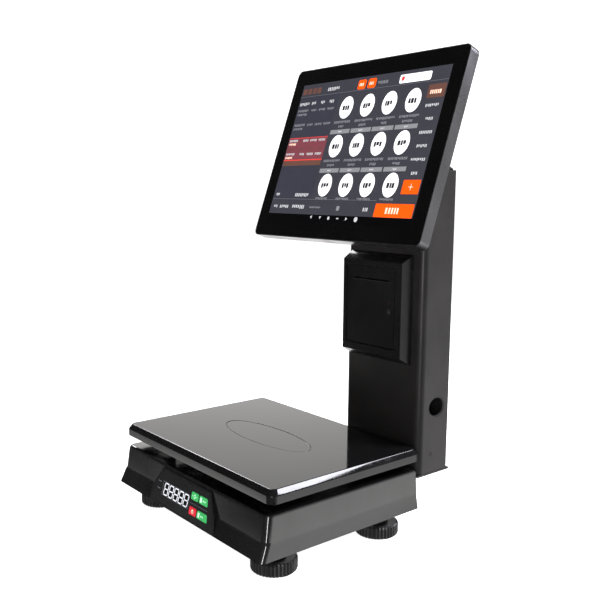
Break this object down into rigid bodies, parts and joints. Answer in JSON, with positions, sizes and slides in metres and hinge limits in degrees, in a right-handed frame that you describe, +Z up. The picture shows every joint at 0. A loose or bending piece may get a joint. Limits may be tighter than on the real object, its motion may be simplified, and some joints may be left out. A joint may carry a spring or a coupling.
{
  "type": "label printing scale",
  "caption": "Counter scale: flat platter on a low base, rear column with a tilting touch screen, label printer behind a hinged door, and a small display with keys at the front.",
  "frame": {"origin": "centre of the bounding box, on the surface the feet stand on", "axes": "+Z up, -Y towards the operator, +X to the operator's right; the column stands at the back right"},
  "size_m": [0.351, 0.3568, 0.6478],
  "materials": {
    "gloss_black": "moulded gloss black",
    "platter_black": "mirror gloss black",
    "display_overlay": "dark smoked overlay",
    "digit_window": "black window with pale digits",
    "key_green": "printed green key",
    "key_red": "printed red key",
    "foot_black": "ridged black",
    "column_paint": "dark satin paint",
    "satin_black": "fine grained black",
    "door_black": "fine grained black, a little lighter",
    "frame_grey": "satin gunmetal",
    "screen_glass": "black-edged touch glass",
    "display_module": "display module",
    "status_light": "dark lens",
    "lock_steel": "bright lock and screws",
    "plated_steel": "zinc plated",
    "cast_aluminium": "machined",
    "circuit_board": "green board",
    "soft_rubber": "black rubber",
    "white_nylon": "natural nylon",
    "label_paper": "label paper on a core"
  },
  "bodies": {
    "base": {"base_housing": "gloss_black", "display_overlay": "display_overlay", "digit_display": "digit_window", "column_shell": "column_paint", "column_back_cover": "column_paint", "column_foot_plate": "column_paint", "column_top_cap": "satin_black", "column_upper_cover": "satin_black", "printer_housing": "satin_black", "column_side_screw": "lock_steel", "back_cover_screw_1": "lock_steel", "back_cover_screw_2": "lock_steel", "back_cover_screw_3": "lock_steel", "back_cover_screw_4": "lock_steel", "base_bottom_plate": "plated_steel", "load_cell_riser": "plated_steel", "platter_spider": "plated_steel", "column_support_bracket": "plated_steel", "screen_hinge_pin": "plated_steel", "column_hinge_bracket": "plated_steel", "door_hinge_pin": "plated_steel", "printer_chassis": "plated_steel", "printer_motor": "plated_steel", "load_cell": "cast_aluminium", "load_cell_post": "cast_aluminium", "power_supply": "cast_aluminium", "print_head": "cast_aluminium", "display_board": "circuit_board", "scale_board": "circuit_board", "platter_pad_front_left": "soft_rubber", "platter_pad_front_right": "soft_rubber", "platter_pad_back_left": "soft_rubber", "platter_pad_back_right": "soft_rubber", "roll_spindle": "white_nylon"},
    "screen": {"screen_frame": "frame_grey", "screen_glass": "screen_glass", "lcd_panel": "display_module", "computer_board": "circuit_board", "screen_back_cover": "satin_black", "screen_hinge_bracket": "plated_steel"},
    "printer_door": {"printer_door": "door_black", "status_light": "status_light"},
    "door_lock": {"door_lock": "lock_steel"},
    "key_zero": {"key_zero": "key_green"},
    "key_tare": {"key_tare": "key_green"},
    "key_power": {"key_power": "key_red"},
    "key_total": {"key_total": "key_green"},
    "platter": {"platter": "platter_black"},
    "foot_front_left": {"foot_wheel_front_left": "foot_black", "foot_stud_front_left": "plated_steel"},
    "foot_front_right": {"foot_wheel_front_right": "foot_black", "foot_stud_front_right": "plated_steel"},
    "foot_back_left": {"foot_wheel_back_left": "foot_black", "foot_stud_back_left": "plated_steel"},
    "foot_back_right": {"foot_wheel_back_right": "foot_black", "foot_stud_back_right": "plated_steel"},
    "platen": {"platen_roller": "soft_rubber", "platen_gear": "white_nylon"},
    "motor_pinion": {"motor_pinion": "white_nylon"},
    "label_roll": {"label_roll": "label_paper"}
  },
  "joints": [
    {"name": "screen_tilt", "type": "hinge", "parent": "base", "child": "screen", "pos_m": [0.0955, 0.12956, 0.476], "axis": [-1, 0, 0], "range_deg": [0, 25]},
    {"name": "printer_door_swing", "type": "hinge", "parent": "base", "child": "printer_door", "pos_m": [0.045, 0.07206, 0.2995], "axis": [0, 0, -1], "range_deg": [0, 100]},
    {"name": "door_lock_turn", "type": "hinge", "parent": "printer_door", "child": "door_lock", "pos_m": [0.1252, 0.07356, 0.2955], "axis": [0, 1, 0], "range_deg": [0, 90]},
    {"name": "key_zero_press", "type": "slide", "parent": "base", "child": "key_zero", "axis": [0, 0.9778, -0.2097], "range_m": [0, 0.0006], "stiffness_N_per_m": 800},
    {"name": "key_tare_press", "type": "slide", "parent": "base", "child": "key_tare", "axis": [0, 0.9778, -0.2097], "range_m": [0, 0.0006], "stiffness_N_per_m": 800},
    {"name": "key_power_press", "type": "slide", "parent": "base", "child": "key_power", "axis": [0, 0.9778, -0.2097], "range_m": [0, 0.0006], "stiffness_N_per_m": 800},
    {"name": "key_total_press", "type": "slide", "parent": "base", "child": "key_total", "axis": [0, 0.9778, -0.2097], "range_m": [0, 0.0006], "stiffness_N_per_m": 800},
    {"name": "platter_lift", "type": "slide", "parent": "base", "child": "platter", "axis": [0, 0, 1], "range_m": [0, 0.05]},
    {"name": "foot_front_left_turn", "type": "hinge", "parent": "base", "child": "foot_front_left", "pos_m": [-0.134, -0.12944, 0], "axis": [0, 0, 1], "continuous": true},
    {"name": "foot_front_right_turn", "type": "hinge", "parent": "base", "child": "foot_front_right", "pos_m": [0.134, -0.12944, 0], "axis": [0, 0, 1], "continuous": true},
    {"name": "foot_back_left_turn", "type": "hinge", "parent": "base", "child": "foot_back_left", "pos_m": [-0.138, 0.04256, 0], "axis": [0, 0, 1], "continuous": true},
    {"name": "foot_back_right_turn", "type": "hinge", "parent": "base", "child": "foot_back_right", "pos_m": [0.138, 0.04256, 0], "axis": [0, 0, 1], "continuous": true},
    {"name": "platen_spin", "type": "hinge", "parent": "base", "child": "platen", "pos_m": [0.09, 0.10156, 0.333], "axis": [1, 0, 0], "continuous": true},
    {"name": "motor_spin", "type": "hinge", "parent": "base", "child": "motor_pinion", "pos_m": [0.139, 0.11391, 0.333], "axis": [1, 0, 0], "continuous": true},
    {"name": "label_roll_spin", "type": "hinge", "parent": "base", "child": "label_roll", "pos_m": [0.087, 0.10656, 0.282], "axis": [1, 0, 0], "continuous": true}
  ],
  "couplings": [
    {"joint": "motor_spin", "follows": "platen_spin", "ratio": -2}
  ]
}
